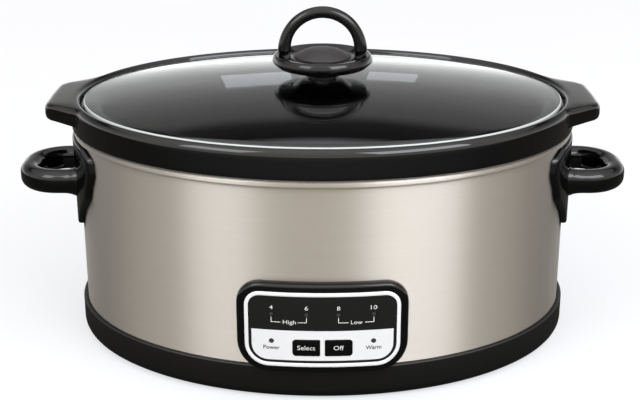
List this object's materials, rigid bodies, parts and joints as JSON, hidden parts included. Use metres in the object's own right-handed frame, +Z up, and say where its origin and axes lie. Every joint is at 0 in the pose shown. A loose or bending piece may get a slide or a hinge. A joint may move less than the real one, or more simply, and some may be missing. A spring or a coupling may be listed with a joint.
{
  "type": "slow cooker",
  "caption": "Oval countertop slow cooker: steel-banded heated base with push-button panel, lift-out glazed stoneware crock with lug handles and a domed glass lid with looped knob.",
  "frame": {"origin": "on the surface it stands on, under the centre of the object's outline", "axes": "+X along the long side towards the right-hand handle, -Y is the front with the control panel, +Z up"},
  "size_m": [0.4546, 0.311, 0.2432],
  "materials": {
    "brushed_steel": "brushed along its length",
    "liner_steel": "dark baked coating",
    "plated_steel": "zinc plated",
    "black_glaze": "gloss glaze",
    "clear_glass": "tempered clear glass",
    "gloss_black_plastic": "gloss moulded",
    "satin_black_plastic": "satin moulded",
    "white_plastic": "satin",
    "silver_film": "printed satin film",
    "black_film": "printed satin film",
    "smoked_lens": "smoked translucent",
    "rubber": "soft matte",
    "circuit_board": "green solder mask",
    "dark_case": "moulded",
    "heater_foil": "foil faced",
    "glass_wool": "needled glass fibre"
  },
  "bodies": {
    "heated_base": {"base_tray": "satin_black_plastic", "foot_front_left": "rubber", "foot_front_right": "rubber", "foot_rear_left": "rubber", "foot_rear_right": "rubber", "base_plate": "plated_steel", "base_plate_screw_1": "plated_steel", "base_plate_screw_2": "plated_steel", "base_plate_screw_3": "plated_steel", "base_plate_screw_4": "plated_steel", "tie_stud": "plated_steel", "tie_nut": "plated_steel", "outer_band": "brushed_steel", "well_liner": "liner_steel", "heater_band": "heater_foil", "heater_strap_lower": "plated_steel", "heater_strap_upper": "plated_steel", "insulation_wrap": "glass_wool", "side_handle_left": "gloss_black_plastic", "side_handle_right": "gloss_black_plastic", "handle_screw_left_1": "plated_steel", "handle_screw_left_2": "plated_steel", "handle_screw_right_1": "plated_steel", "handle_screw_right_2": "plated_steel", "control_housing": "gloss_black_plastic", "housing_screw_left": "plated_steel", "housing_screw_right": "plated_steel", "trim_ring": "white_plastic", "label_upper": "black_film", "label_lower": "silver_film", "time_light_1": "smoked_lens", "time_light_2": "smoked_lens", "time_light_3": "smoked_lens", "time_light_4": "smoked_lens", "power_light": "smoked_lens", "warm_light": "smoked_lens", "control_board": "circuit_board", "select_switch": "dark_case", "off_switch": "dark_case", "power_board": "circuit_board", "board_carrier": "satin_black_plastic", "relay": "dark_case", "transformer": "dark_case", "capacitor": "dark_case", "temperature_sensor": "plated_steel", "sensor_clip": "plated_steel", "thermal_fuse": "plated_steel", "cord_gland": "satin_black_plastic"},
    "crock_body": {"crock": "black_glaze"},
    "lid": {"lid_glass": "clear_glass", "lid_knob": "gloss_black_plastic", "knob_seal": "rubber", "lid_washer": "plated_steel", "lid_screw": "plated_steel"},
    "select_key": {"select_button": "gloss_black_plastic", "select_plunger": "dark_case"},
    "off_key": {"off_button": "gloss_black_plastic", "off_plunger": "dark_case"}
  },
  "joints": [
    {"name": "crock_lift", "type": "slide", "parent": "heated_base", "child": "crock_body", "axis": [0, 0, 1], "range_m": [0, 0.16]},
    {"name": "lid_lift", "type": "slide", "parent": "crock_body", "child": "lid", "axis": [0, 0, 1], "range_m": [0, 0.12]},
    {"name": "select_press", "type": "slide", "parent": "heated_base", "child": "select_key", "axis": [0, 1, 0], "range_m": [0, 0.0005], "stiffness_N_per_m": 600, "springref_m": -0.0005},
    {"name": "off_press", "type": "slide", "parent": "heated_base", "child": "off_key", "axis": [0, 1, 0], "range_m": [0, 0.0005], "stiffness_N_per_m": 600, "springref_m": -0.0005}
  ]
}
